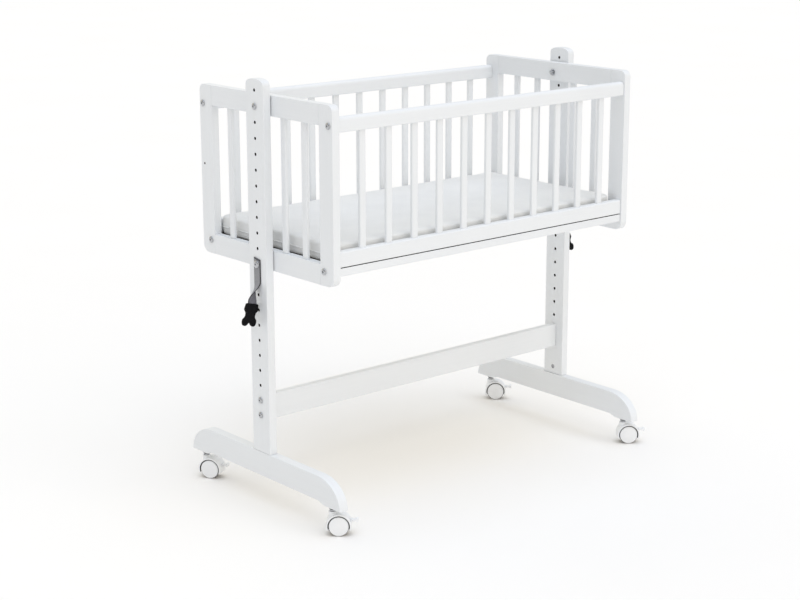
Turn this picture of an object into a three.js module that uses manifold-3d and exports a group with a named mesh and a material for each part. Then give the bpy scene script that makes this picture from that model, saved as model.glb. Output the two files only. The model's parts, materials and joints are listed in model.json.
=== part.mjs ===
// A swinging bedside cradle hung between two drilled posts, on a stand with four braked twin-wheel casters.
// Millimetres, +Z up. X runs along the cradle, Y across it. -X is the left end, -Y is the front. The model
// is drawn about the middle of the stand, with the floor at z = 0.
import * as THREE from "three";
import { mergeVertices } from "three/addons/utils/BufferGeometryUtils.js";
import Module from "manifold-3d";

// ---- Driving dimensions -------------------------------------------------------------------------

const CRIB_LENGTH = 800; // inside, between the end panels
const CRIB_WIDTH = 400; // inside, between the side frames
const BOARD = 18; // thickness of the crib's boards
const GAP = 0.3; // between two pieces that touch

const END_X = CRIB_LENGTH / 2; // inner face of an end panel
const END_HALF_WIDTH = 221;
const END_BOTTOM = 504;
const END_TOP = 860;
const END_RAIL_HEIGHT = 42;
const STILE_WIDTH = 42;
const STILE_TOP_RADIUS = 14;
const STILE_BOTTOM_RADIUS = 18;
const END_SLAT_YS = [-123.5, -57.5, 57.5, 123.5];

const SLAT_WIDTH = 16;
const SLAT_THICKNESS = 8;
const SLAT_RADIUS = 3;
const TENON = 3; // how far a glued slat runs into a side rail

const SIDE_Y = CRIB_WIDTH / 2 + BOARD / 2; // middle of a side frame
const SIDE_TOP_RAIL = { bottom: 806, top: 836, topRadius: 8, bottomRadius: 2 };
const SIDE_BOTTOM_RAIL = { bottom: 542, top: 573, topRadius: 4, bottomRadius: 1.5 };
const SIDE_SLATS = 11;
const SIDE_SLAT_PITCH = 67.3;

const BASE_SLIT = 1.6; // between the side frames and the base board
const BASE_TOP = SIDE_BOTTOM_RAIL.bottom - BASE_SLIT;
const BASE_THICKNESS = 16.2;

const MATTRESS = { length: 794, width: 394, height: 43.3, corner: 14, edge: 5 };

const POST_INNER_X = 420;
const POST_THICKNESS = 18;
const POST_WIDTH = 58;
const POST_TOP = 892;
const POST_ARCH = 13; // rise of the rounded top
const HOLE_PITCH = 32;
const HOLE_COUNT = 22;
const TOP_HOLE_Z = 869.25;
const HOLE_RADIUS = 3.3;
const PIVOT_HOLE = 1; // counted from the top hole, which is 0
const LOCK_HOLE = 11;
const STRETCHER_HOLES = [20, 21];
const BARREL_NUT_BORE = { z: 133.5, radius: 5, depth: 14 }; // takes the bolt that comes up through the foot

const FOOT_THICKNESS = 22;
const FOOT_HALF_LENGTH = 257;
const FOOT_TOP = 116.5;
const FOOT_PAD_BOTTOM = 58;
const FOOT_BRIDGE_BOTTOM = 63.6; // underside between the two pads
const FOOT_NOSE = 72; // length of the rounded end
const FOOT_PAD_INNER = 205; // where the pad's slope starts, from the middle
const FOOT_PAD_SLOPE = 18;

const STRETCHER = { bottom: 186, top: 240, thickness: 16 };

const CASTER_X = 427;
const CASTER_Y = 221;
const CASTER_TRAIL = 12;
const WHEEL_RADIUS = 21;
const WHEEL_WIDTH = 10;
const WHEEL_SPACE = 10; // between the two wheels
const CAP_RADIUS = 18;
const CAP_RISE = 1.2;
const AXLE_RADIUS = 3;
const HOOD_INNER = 22.6;
const HOOD_OUTER = 25.2;
const HOOD_HALF_WIDTH = 15.6;
const HOOD_DROOP = 20; // how far the hood's two ends reach below the axle, in degrees
const WEB_HALF_WIDTH = 4.2;
const WEB_DROOP = 25;
const WEB_LAP = 0.5; // how far the web runs into the hood
const NECK_RADIUS = 8.5;
const NECK_FOOT = 16; // height of its lower end above the axle
const NECK_TOP = 50;
const STEM_RADIUS = 4;
const STEM_DEPTH = 20; // of the stem in the foot
const STEM_COLLAR_RADIUS = 6.5;
const STEM_LAP = 2; // how far the stem runs into the neck
const COLLAR_DROP = 2; // from the foot down to the collar
const LEVER_ANGLE = THREE.MathUtils.degToRad(20); // of its pivot, above the axle
const LEVER_PIVOT_RADIUS = 2.4;
const LEVER_HALF_WIDTH = 6;
const LEVER_LENGTH = 13;
const LEVER_THICKNESS = 3;
const LEVER_TOE = { length: 4, thickness: 7 }; // the pad at its end
const LEVER_CLEARANCE = 0.5; // between its pivot and the hood

const BOLT_RADIUS = 3;
const BOLT_HEAD_RADIUS = 6.9;
const LOCK_HEAD_RADIUS = 8.2; // it clamps the strap
const BOLT_HEAD_HEIGHT = 3.3;
const BOLT_SOCKET_RADIUS = 2.4;
const BOLT_SOCKET_DEPTH = 1.8;
const BOLT_BITE = 42; // how far a bolt runs into the end of a rail or board
const PIVOT_NUT_RADIUS = 5.5;
const PIVOT_NUT_THICKNESS = 6.5; // with its washer
const WASHER = { thickness: 1.5, overhang: 2 };
const CORNER_TOP_BOLT = { y: SIDE_Y, z: 820 };
const CORNER_BASE_BOLT = { y: 191.5, z: 533 };

const STRAP = { width: 20, thickness: 2.4, top: 529, steps: 12 };
const BUCKLE = { thickness: 6, standOff: 16, drop: 3.5 }; // from the post to its middle, and below the strap
const HANGS = {
  left: { twistTop: 482, end: 441, y: 0, lean: 14 },
  right: { twistTop: 495, end: 454, y: 3, lean: 19 },
}; // heights where each strap starts to turn and ends, and how far its buckle leans out, in degrees

const HOOK_HOLE = { y: 208.6, z: 693.5, radius: 2.4, depth: 9 }; // in the left rear stile, for a toy or bag

// Where each caster stands, and which way it trails, in degrees about Z.
const CASTERS = [
  { name: "front_left", x: -CASTER_X, y: -CASTER_Y, turn: -41 },
  { name: "rear_left", x: -CASTER_X, y: CASTER_Y, turn: -58 },
  { name: "front_right", x: CASTER_X, y: -CASTER_Y, turn: -38 },
  { name: "rear_right", x: CASTER_X, y: CASTER_Y, turn: -44 },
];

// ---- Materials ----------------------------------------------------------------------------------

function finish(color, roughness, metalness = 0) {
  return new THREE.MeshStandardMaterial({ color, roughness, metalness });
}

const LACQUER = finish(0xf4f4f2, 0.4);
const MATTRESS_COVER = finish(0xf6f6f4, 0.9);
const CASTER_PLASTIC = finish(0xeef0f1, 0.45);
const TREAD = finish(0xc9cbcc, 0.65);
const STEEL = finish(0xb9bcc0, 0.3, 1);
const WEBBING = finish(0x77797c, 0.85);
const BUCKLE_PLASTIC = finish(0x17181a, 0.5);

// ---- Geometry helpers ---------------------------------------------------------------------------

const wasm = await Module();
wasm.setup();

// A closed geometry as a solid that can be joined and cut.
function solid(geometry) {
  const bare = geometry.index ? geometry.toNonIndexed() : geometry.clone();
  const onlyPositions = new THREE.BufferGeometry();
  onlyPositions.setAttribute("position", bare.getAttribute("position"));
  const merged = mergeVertices(onlyPositions, 1e-4);
  return new wasm.Manifold(
    new wasm.Mesh({
      numProp: 3,
      vertProperties: merged.attributes.position.array,
      triVerts: new Uint32Array(merged.index.array),
    }),
  );
}

// A solid back as a geometry.
function geometryOf(manifold) {
  const mesh = manifold.getMesh();
  const geometry = new THREE.BufferGeometry();
  geometry.setAttribute("position", new THREE.BufferAttribute(mesh.vertProperties, 3));
  geometry.setIndex(new THREE.BufferAttribute(mesh.triVerts, 1));
  geometry.computeVertexNormals();
  return geometry;
}

function joined(...geometries) {
  return geometryOf(geometries.map(solid).reduce((all, next) => all.add(next)));
}

function cut(geometry, ...tools) {
  return geometryOf(tools.map(solid).reduce((left, tool) => left.subtract(tool), solid(geometry)));
}

function extrude(shape, depth, curveSegments = 6) {
  return new THREE.ExtrudeGeometry(shape, { depth, bevelEnabled: false, curveSegments });
}

const ALONG_X = new THREE.Matrix4().makeBasis(
  new THREE.Vector3(0, 1, 0),
  new THREE.Vector3(0, 0, 1),
  new THREE.Vector3(1, 0, 0),
);

// A shape drawn in (y, z), extruded along X from x0 to x1.
function extrudeX(shape, x0, x1, curveSegments) {
  return extrude(shape, x1 - x0, curveSegments).applyMatrix4(ALONG_X).translate(x0, 0, 0);
}

// A shape drawn in (x, z), extruded along Y from y0 to y1.
function extrudeY(shape, y0, y1, curveSegments) {
  return extrude(shape, y1 - y0, curveSegments).rotateX(Math.PI / 2).translate(0, y1, 0);
}

// A shape drawn in (x, y), extruded along Z from z0 to z1.
function extrudeZ(shape, z0, z1, curveSegments) {
  return extrude(shape, z1 - z0, curveSegments).translate(0, 0, z0);
}

// A closed outline through square corners, each given as [a, b, radius], in either order round.
function outline(points) {
  const KAPPA = 0.5523; // handle length of a cubic curve that follows a quarter circle
  const clockwise = THREE.ShapeUtils.area(points.map(([a, b]) => new THREE.Vector2(a, b))) < 0;
  const corners = clockwise ? points.toReversed() : points;
  const shape = new THREE.Shape();
  corners.forEach(([a, b, radius = 0], i) => {
    const corner = new THREE.Vector2(a, b);
    const toward = (other) => new THREE.Vector2(other[0], other[1]).sub(corner).normalize();
    const back = toward(corners[(i + corners.length - 1) % corners.length]);
    const ahead = toward(corners[(i + 1) % corners.length]);
    const at = (direction, distance) => corner.clone().addScaledVector(direction, distance);
    const start = at(back, radius);
    if (i === 0) shape.moveTo(start.x, start.y);
    else shape.lineTo(start.x, start.y);
    if (radius) {
      const near = at(back, radius * (1 - KAPPA));
      const far = at(ahead, radius * (1 - KAPPA));
      const end = at(ahead, radius);
      shape.bezierCurveTo(near.x, near.y, far.x, far.y, end.x, end.y);
    }
  });
  shape.closePath();
  return shape;
}

// A rectangle whose lower and upper corners have their own radii.
function roundedRect(a0, b0, a1, b1, lower = 0, upper = lower) {
  return outline([
    [a0, b0, lower],
    [a1, b0, lower],
    [a1, b1, upper],
    [a0, b1, upper],
  ]);
}

function circleHole(a, b, radius) {
  return new THREE.Path().absarc(a, b, radius, 0, Math.PI * 2, true);
}

function rodX(radius, x0, x1, y, z, sides = 16) {
  return new THREE.CylinderGeometry(radius, radius, x1 - x0, sides)
    .rotateZ(-Math.PI / 2)
    .translate((x0 + x1) / 2, y, z);
}

function rodY(radius, x, y0, y1, z, sides = 16) {
  return new THREE.CylinderGeometry(radius, radius, y1 - y0, sides).translate(x, (y0 + y1) / 2, z);
}

function rodZ(radius, x, y, z0, z1, sides = 16) {
  return new THREE.CylinderGeometry(radius, radius, z1 - z0, sides)
    .rotateX(Math.PI / 2)
    .translate(x, y, (z0 + z1) / 2);
}

// A round profile of [radius, height] points, turned about Z.
function turned(points, sides = 20) {
  const profile = points.map(([radius, height]) => new THREE.Vector2(radius, height));
  return new THREE.LatheGeometry(profile, sides).rotateX(Math.PI / 2);
}

// ---- The object ---------------------------------------------------------------------------------

const cradle = new THREE.Group();
const SIDES = [
  { name: "left", sign: -1 },
  { name: "right", sign: 1 },
];
const EDGES = [
  { name: "front", sign: -1 },
  { name: "rear", sign: 1 },
];

function add(name, geometry, material, parent = cradle) {
  const mesh = new THREE.Mesh(geometry, material);
  mesh.name = name;
  parent.add(mesh);
  return mesh;
}

// Runs a span given for the right end from its inner to its outer x, mirrored for the left end.
function spanX(sign, inner, outer) {
  return sign > 0 ? [inner, outer] : [-outer, -inner];
}

function holeZ(index) {
  return TOP_HOLE_Z - index * HOLE_PITCH;
}

// ---- Stand --------------------------------------------------------------------------------------

function postShape() {
  const half = POST_WIDTH / 2;
  const shoulder = POST_TOP - POST_ARCH;
  const shape = new THREE.Shape();
  shape.moveTo(-half, FOOT_TOP + GAP);
  shape.lineTo(half, FOOT_TOP + GAP);
  shape.lineTo(half, shoulder);
  shape.bezierCurveTo(half, POST_TOP - 4, half * 0.62, POST_TOP, 0, POST_TOP);
  shape.bezierCurveTo(-half * 0.62, POST_TOP, -half, POST_TOP - 4, -half, shoulder);
  shape.closePath();
  for (let index = 0; index < HOLE_COUNT; index += 1) {
    shape.holes.push(circleHole(0, holeZ(index), HOLE_RADIUS));
  }
  return shape;
}

function post(sideSign) {
  const { z, radius, depth } = BARREL_NUT_BORE;
  const board = extrudeX(postShape(), ...spanX(sideSign, POST_INNER_X, POST_INNER_X + POST_THICKNESS));
  return cut(board, rodX(radius, ...spanX(sideSign, POST_INNER_X - 1, POST_INNER_X + depth), 0, z));
}

function footShape() {
  const noseCentre = FOOT_HALF_LENGTH - FOOT_NOSE;
  const noseRise = FOOT_TOP - FOOT_PAD_BOTTOM;
  const slopeTop = FOOT_PAD_INNER - FOOT_PAD_SLOPE;
  const shape = new THREE.Shape();
  shape.moveTo(-slopeTop, FOOT_BRIDGE_BOTTOM);
  shape.lineTo(slopeTop, FOOT_BRIDGE_BOTTOM);
  shape.lineTo(FOOT_PAD_INNER, FOOT_PAD_BOTTOM);
  shape.lineTo(FOOT_HALF_LENGTH, FOOT_PAD_BOTTOM);
  shape.absellipse(noseCentre, FOOT_PAD_BOTTOM, FOOT_NOSE, noseRise, 0, Math.PI / 2);
  shape.lineTo(-noseCentre, FOOT_TOP);
  shape.absellipse(-noseCentre, FOOT_PAD_BOTTOM, FOOT_NOSE, noseRise, Math.PI / 2, Math.PI);
  shape.lineTo(-FOOT_PAD_INNER, FOOT_PAD_BOTTOM);
  shape.closePath();
  return shape;
}

function foot(sign) {
  const outer = POST_INNER_X + POST_THICKNESS;
  const board = extrudeX(footShape(), ...spanX(sign, outer - FOOT_THICKNESS, outer));
  const bores = EDGES.map((edge) =>
    rodZ(
      STEM_RADIUS + GAP,
      sign * CASTER_X,
      edge.sign * CASTER_Y,
      FOOT_PAD_BOTTOM - 1,
      FOOT_PAD_BOTTOM + STEM_DEPTH + 1,
      12,
    ),
  );
  return cut(board, ...bores);
}

function stretcher() {
  const half = STRETCHER.thickness / 2;
  const end = POST_INNER_X - GAP;
  const section = roundedRect(-half, STRETCHER.bottom, half, STRETCHER.top, 0);
  const board = extrudeX(section, -end, end);
  const bores = SIDES.flatMap((side) =>
    STRETCHER_HOLES.map((index) =>
      rodX(HOLE_RADIUS, ...spanX(side.sign, end - BOLT_BITE - 2, end + 1), 0, holeZ(index), 12),
    ),
  );
  return cut(board, ...bores);
}

for (const side of SIDES) {
  add(`post_${side.name}`, post(side.sign), LACQUER);
  add(`foot_${side.name}`, foot(side.sign), LACQUER);
}
add("stretcher", stretcher(), LACQUER);

const crib = new THREE.Group();
cradle.add(crib);

// ---- Crib ends ----------------------------------------------------------------------------------

function stile(sideSign, edgeSign) {
  const inner = END_HALF_WIDTH - STILE_WIDTH + GAP / 2;
  const shape = outline([
    [edgeSign * inner, END_BOTTOM],
    [edgeSign * END_HALF_WIDTH, END_BOTTOM, STILE_BOTTOM_RADIUS],
    [edgeSign * END_HALF_WIDTH, END_TOP, STILE_TOP_RADIUS],
    [edgeSign * inner, END_TOP],
  ]);
  for (const bolt of [CORNER_TOP_BOLT, CORNER_BASE_BOLT]) {
    shape.holes.push(circleHole(edgeSign * bolt.y, bolt.z, HOLE_RADIUS));
  }
  return extrudeX(shape, ...spanX(sideSign, END_X, END_X + BOARD));
}

// A blind hole in a stile's outer face.
function withHookHole(geometry, sideSign, edgeSign) {
  const { y, z, radius, depth } = HOOK_HOLE;
  const outer = END_X + BOARD;
  return cut(geometry, rodX(radius, ...spanX(sideSign, outer - depth, outer + 1), edgeSign * y, z, 12));
}

function endRail(sideSign, bottom, boltZ) {
  const half = END_HALF_WIDTH - STILE_WIDTH - GAP / 2;
  const shape = roundedRect(-half, bottom, half, bottom + END_RAIL_HEIGHT);
  shape.holes.push(circleHole(0, boltZ, HOLE_RADIUS));
  return extrudeX(shape, ...spanX(sideSign, END_X, END_X + BOARD));
}

function slatSection(along, across) {
  return roundedRect(-along / 2, -across / 2, along / 2, across / 2, SLAT_RADIUS);
}

for (const side of SIDES) {
  for (const edge of EDGES) {
    const plain = stile(side.sign, edge.sign);
    const hooked = side.name === "left" && edge.name === "rear";
    const geometry = hooked ? withHookHole(plain, side.sign, edge.sign) : plain;
    add(`stile_${side.name}_${edge.name}`, geometry, LACQUER, crib);
  }
  const topRail = endRail(side.sign, END_TOP - END_RAIL_HEIGHT, holeZ(PIVOT_HOLE));
  add(`end_top_rail_${side.name}`, topRail, LACQUER, crib);
  add(`end_bottom_rail_${side.name}`, endRail(side.sign, END_BOTTOM, holeZ(LOCK_HOLE)), LACQUER, crib);
  const slatBottom = END_BOTTOM + END_RAIL_HEIGHT + GAP;
  const slatTop = END_TOP - END_RAIL_HEIGHT - GAP;
  END_SLAT_YS.forEach((y, i) => {
    const slat = extrudeZ(slatSection(SLAT_THICKNESS, SLAT_WIDTH), slatBottom, slatTop, 2);
    slat.translate(side.sign * (END_X + BOARD / 2), y, 0);
    add(`end_slat_${side.name}_${i + 1}`, slat, LACQUER, crib);
  });
}

// ---- Crib sides, base and mattress --------------------------------------------------------------

// A glued ladder: two rails and the slats between them.
function sideFrame(edgeSign) {
  const end = END_X - GAP;
  const y0 = edgeSign * SIDE_Y - BOARD / 2;
  const rail = ({ bottom, top, topRadius, bottomRadius }) =>
    extrudeX(roundedRect(y0, bottom, y0 + BOARD, top, bottomRadius, topRadius), -end, end, 4);
  const slats = Array.from({ length: SIDE_SLATS }, (_, i) =>
    extrudeZ(
      slatSection(SLAT_WIDTH, SLAT_THICKNESS),
      SIDE_BOTTOM_RAIL.top - TENON,
      SIDE_TOP_RAIL.bottom + TENON,
      2,
    ).translate((i - (SIDE_SLATS - 1) / 2) * SIDE_SLAT_PITCH, edgeSign * SIDE_Y, 0),
  );
  const ladder = joined(rail(SIDE_TOP_RAIL), rail(SIDE_BOTTOM_RAIL), ...slats);
  return cut(ladder, ...SIDES.map((side) => boltBore(side.sign, edgeSign, CORNER_TOP_BOLT)));
}

// The hole in the end of a side frame or the base board that a corner bolt screws into.
function boltBore(sideSign, edgeSign, { y, z }) {
  const span = spanX(sideSign, END_X - BOLT_BITE - 2, END_X + 1);
  return rodX(HOLE_RADIUS, ...span, edgeSign * y, z, 12);
}

function baseBoard() {
  const end = END_X - GAP;
  const half = SIDE_Y + BOARD / 2;
  const section = roundedRect(-half, BASE_TOP - BASE_THICKNESS, half, BASE_TOP, 1.5, 0.8);
  const bores = SIDES.flatMap((side) =>
    EDGES.map((edge) => boltBore(side.sign, edge.sign, CORNER_BASE_BOLT)),
  );
  return cut(extrudeX(section, -end, end, 2), ...bores);
}

function mattress() {
  const { length, width, height, corner, edge } = MATTRESS;
  const half = [length / 2 - edge, width / 2 - edge];
  const shape = roundedRect(-half[0], -half[1], half[0], half[1], corner - edge);
  return new THREE.ExtrudeGeometry(shape, {
    depth: height - 2 * edge,
    bevelEnabled: true,
    bevelThickness: edge,
    bevelSize: edge,
    bevelSegments: 3,
    curveSegments: 5,
  }).translate(0, 0, BASE_TOP + GAP + edge);
}

for (const edge of EDGES) add(`side_frame_${edge.name}`, sideFrame(edge.sign), LACQUER, crib);
add("base_board", baseBoard(), LACQUER, crib);
add("mattress", mattress(), MATTRESS_COVER, crib);

// ---- Bolts --------------------------------------------------------------------------------------

// A button-head bolt along X whose head sits on a face at seat, with its shank running inwards.
function bolt(sideSign, seat, y, z, shank, headRadius = BOLT_HEAD_RADIUS) {
  const profile = [
    [0, -shank],
    [BOLT_RADIUS, -shank],
    [BOLT_RADIUS, GAP],
    [headRadius, GAP],
    [headRadius, GAP + BOLT_HEAD_HEIGHT * 0.35],
    [headRadius * 0.6, GAP + BOLT_HEAD_HEIGHT],
    [BOLT_SOCKET_RADIUS, GAP + BOLT_HEAD_HEIGHT],
    [BOLT_SOCKET_RADIUS, GAP + BOLT_HEAD_HEIGHT - BOLT_SOCKET_DEPTH],
    [0, GAP + BOLT_HEAD_HEIGHT - BOLT_SOCKET_DEPTH],
  ];
  return turned(profile, 10).rotateY((sideSign * Math.PI) / 2).translate(sideSign * seat, y, z);
}

function pivotNut(sideSign) {
  const outerFace = END_X - GAP;
  const nutSpan = spanX(sideSign, outerFace - PIVOT_NUT_THICKNESS, outerFace - WASHER.thickness / 2);
  const washerSpan = spanX(sideSign, outerFace - WASHER.thickness, outerFace);
  const nut = joined(
    rodX(PIVOT_NUT_RADIUS, ...nutSpan, 0, holeZ(PIVOT_HOLE), 6),
    rodX(PIVOT_NUT_RADIUS + WASHER.overhang, ...washerSpan, 0, holeZ(PIVOT_HOLE)),
  );
  return cut(nut, rodX(HOLE_RADIUS, -END_X - BOARD, END_X + BOARD, 0, holeZ(PIVOT_HOLE), 12));
}

for (const side of SIDES) {
  const postFace = POST_INNER_X + POST_THICKNESS;
  const endFace = END_X + BOARD;
  const pivotShank = postFace - END_X + PIVOT_NUT_THICKNESS + 2;
  add(`pivot_bolt_${side.name}`, bolt(side.sign, postFace, 0, holeZ(PIVOT_HOLE), pivotShank), STEEL);
  add(`pivot_nut_${side.name}`, pivotNut(side.sign), STEEL);
  const strapFace = postFace + 2 * GAP + STRAP.thickness;
  const lockShank = strapFace - POST_INNER_X - GAP;
  const lock = bolt(side.sign, strapFace, 0, holeZ(LOCK_HOLE), lockShank, LOCK_HEAD_RADIUS);
  add(`lock_bolt_${side.name}`, lock, STEEL);
  for (const index of STRETCHER_HOLES) {
    const shank = POST_THICKNESS + BOLT_BITE;
    add(`stretcher_bolt_${side.name}_${index}`, bolt(side.sign, postFace, 0, holeZ(index), shank), STEEL);
  }
  for (const edge of EDGES) {
    const shank = BOARD + BOLT_BITE;
    const top = bolt(side.sign, endFace, edge.sign * CORNER_TOP_BOLT.y, CORNER_TOP_BOLT.z, shank);
    const base = bolt(side.sign, endFace, edge.sign * CORNER_BASE_BOLT.y, CORNER_BASE_BOLT.z, shank);
    add(`side_bolt_${side.name}_${edge.name}`, top, STEEL, crib);
    add(`base_bolt_${side.name}_${edge.name}`, base, STEEL, crib);
  }
}

// ---- Bedside straps -----------------------------------------------------------------------------

// Webbing that lies flat on the post, then turns about its own length until it hangs edge on to the post.
function strap(sideSign, { twistTop, end, y }) {
  const { width, thickness, top, steps } = STRAP;
  const flat = thickness / 2 + GAP;
  const heights = Array.from({ length: steps + 1 }, (_, i) => twistTop + ((end - twistTop) * i) / steps);
  const corners = [top, ...heights].flatMap((z) => {
    const share = THREE.MathUtils.smoothstep(twistTop - z, 0, twistTop - end);
    const turn = (share * Math.PI) / 2;
    const out = flat + (BUCKLE.standOff - flat) * Math.sin(turn);
    const centre = new THREE.Vector3(sideSign * (POST_INNER_X + POST_THICKNESS + out), y * share, z);
    const wide = new THREE.Vector3(-sideSign * Math.sin(turn), Math.cos(turn), 0);
    const deep = new THREE.Vector3(-wide.y, wide.x, 0);
    return [[1, 1], [-1, 1], [-1, -1], [1, -1]].map(([a, b]) =>
      centre.clone().addScaledVector(wide, (a * width) / 2).addScaledVector(deep, (b * thickness) / 2),
    );
  });
  return cut(
    tube(corners, 4),
    rodX(HOLE_RADIUS, ...spanX(sideSign, POST_INNER_X, POST_INNER_X + 2 * POST_THICKNESS), 0, holeZ(LOCK_HOLE), 12),
  );
}

// A closed skin over rings of so many points, which run anticlockwise seen from above, from the top down.
function tube(points, count) {
  const faces = [];
  const rings = points.length / count;
  for (let ring = 0; ring + 1 < rings; ring += 1) {
    for (let i = 0; i < count; i += 1) {
      const a = ring * count + i;
      const b = ring * count + ((i + 1) % count);
      faces.push(a, b + count, b, a, a + count, b + count);
    }
  }
  const last = (rings - 1) * count;
  for (let i = 1; i + 1 < count; i += 1) faces.push(0, i, i + 1, last, last + i + 1, last + i);
  const geometry = new THREE.BufferGeometry().setFromPoints(points);
  geometry.setIndex(faces);
  return geometry;
}

// The male half of a side-release buckle, hanging edge on to the post with its two prongs down.
function buckle(sideSign, { end, y, lean }) {
  const { thickness, standOff, drop } = BUCKLE;
  const halfOutline = [
    [13, 0],
    [15.5, -3],
    [16.4, -14],
    [12, -20],
    [11.3, -26],
    [16.5, -33],
    [17, -41],
    [14, -46],
    [8, -46.5],
    [3, -42],
  ];
  const shape = new THREE.Shape();
  shape.setFromPoints([
    ...halfOutline.map(([a, b]) => new THREE.Vector2(a, b)),
    ...halfOutline.toReversed().map(([a, b]) => new THREE.Vector2(-a, b)),
  ]);
  return extrudeY(shape, -thickness / 2, thickness / 2)
    .rotateY(THREE.MathUtils.degToRad(-sideSign * lean))
    .translate(sideSign * (POST_INNER_X + POST_THICKNESS + standOff), y, end - drop);
}

for (const side of SIDES) {
  const hang = HANGS[side.name];
  add(`strap_${side.name}`, strap(side.sign, hang), WEBBING);
  add(`buckle_${side.name}`, buckle(side.sign, hang), BUCKLE_PLASTIC);
}

// ---- Casters ------------------------------------------------------------------------------------

// Each caster is drawn about its stem, trailing along +X with its axle along Y.
function arcBand(inner, outer, fromDegrees, toDegrees) {
  const [from, to] = [fromDegrees, toDegrees].map(THREE.MathUtils.degToRad);
  const shape = new THREE.Shape();
  shape.absarc(CASTER_TRAIL, WHEEL_RADIUS, outer, from, to, false);
  shape.absarc(CASTER_TRAIL, WHEEL_RADIUS, inner, to, from, true);
  shape.closePath();
  return shape;
}

function casterHousing() {
  const band = arcBand(HOOD_INNER, HOOD_OUTER, -HOOD_DROOP, 180 + HOOD_DROOP);
  const hood = extrudeY(band, -HOOD_HALF_WIDTH, HOOD_HALF_WIDTH, 10);
  const web = new THREE.Shape();
  const droop = THREE.MathUtils.degToRad(WEB_DROOP);
  web.absarc(CASTER_TRAIL, WHEEL_RADIUS, HOOD_INNER + WEB_LAP, -droop, Math.PI + droop, false);
  web.closePath();
  web.holes.push(circleHole(CASTER_TRAIL, WHEEL_RADIUS, AXLE_RADIUS + WEB_LAP));
  const webPlate = extrudeY(web, -WEB_HALF_WIDTH, WEB_HALF_WIDTH, 8);
  const neck = rodZ(NECK_RADIUS, 0, 0, WHEEL_RADIUS + NECK_FOOT, NECK_TOP, 14);
  const body = cut(joined(hood, webPlate, neck), ...EDGES.map((side) => wheelBay(side.sign)));
  const stem = rodZ(STEM_RADIUS, 0, 0, NECK_TOP - STEM_LAP, FOOT_PAD_BOTTOM + STEM_DEPTH, 12);
  const collar = rodZ(STEM_COLLAR_RADIUS, 0, 0, NECK_TOP - STEM_LAP, FOOT_PAD_BOTTOM - COLLAR_DROP, 14);
  return joined(body, stem, collar);
}

// The space under the hood that one wheel turns in.
function wheelBay(sign) {
  const span = [sign * WEB_HALF_WIDTH, sign * (HOOD_HALF_WIDTH + 1)].sort((a, b) => a - b);
  return extrudeY(arcBand(1, HOOD_INNER, 20, 170), ...span, 8);
}

function casterWheels() {
  const inner = WHEEL_SPACE / 2;
  const outer = inner + WHEEL_WIDTH;
  const half = [
    [WHEEL_RADIUS - 1.5, inner],
    [WHEEL_RADIUS, inner + 1.5],
    [WHEEL_RADIUS, outer - 1.5],
    [WHEEL_RADIUS - 1.5, outer],
    [CAP_RADIUS, outer],
    [0, outer + CAP_RISE],
  ];
  const other = half.map(([radius, height]) => [radius, -height]).reverse();
  const profile = [...other, [AXLE_RADIUS, -inner], [AXLE_RADIUS, inner], ...half];
  return turned(profile, 22).rotateX(-Math.PI / 2).translate(CASTER_TRAIL, 0, WHEEL_RADIUS);
}

// A tab with a thicker pad for the toe, on a barrel that turns at the hood's edge.
function brakeLever() {
  const reach = HOOD_OUTER + LEVER_PIVOT_RADIUS + LEVER_CLEARANCE;
  const x = CASTER_TRAIL + reach * Math.cos(LEVER_ANGLE);
  const z = WHEEL_RADIUS + reach * Math.sin(LEVER_ANGLE);
  const barrel = rodY(LEVER_PIVOT_RADIUS, x, -LEVER_HALF_WIDTH, LEVER_HALF_WIDTH, z, 12);
  const half = LEVER_THICKNESS / 2;
  const toeHalf = LEVER_TOE.thickness / 2;
  const toeStart = LEVER_LENGTH - LEVER_TOE.length;
  const side = outline([
    [0, -half],
    [toeStart - half, -half],
    [toeStart, -toeHalf],
    [LEVER_LENGTH, -toeHalf, half],
    [LEVER_LENGTH, toeHalf, half],
    [toeStart, toeHalf],
    [toeStart - half, half],
    [0, half],
  ]);
  const tab = extrudeY(side, -LEVER_HALF_WIDTH, LEVER_HALF_WIDTH, 3).translate(x, 0, z);
  return joined(barrel, tab);
}

for (const { name, x, y, turn } of CASTERS) {
  const caster = new THREE.Group();
  caster.position.set(x, y, 0);
  caster.rotation.z = THREE.MathUtils.degToRad(turn);
  cradle.add(caster);
  add(`caster_housing_${name}`, casterHousing(), CASTER_PLASTIC, caster);
  add(`caster_wheels_${name}`, casterWheels(), TREAD, caster);
  add(`caster_brake_${name}`, brakeLever(), CASTER_PLASTIC, caster);
}

export default cradle;
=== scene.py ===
import json
import math

import bmesh
import bpy
from mathutils import Matrix, Vector
from mathutils.bvhtree import BVHTree
from mathutils.geometry import interpolate_bezier, tessellate_polygon


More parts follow.
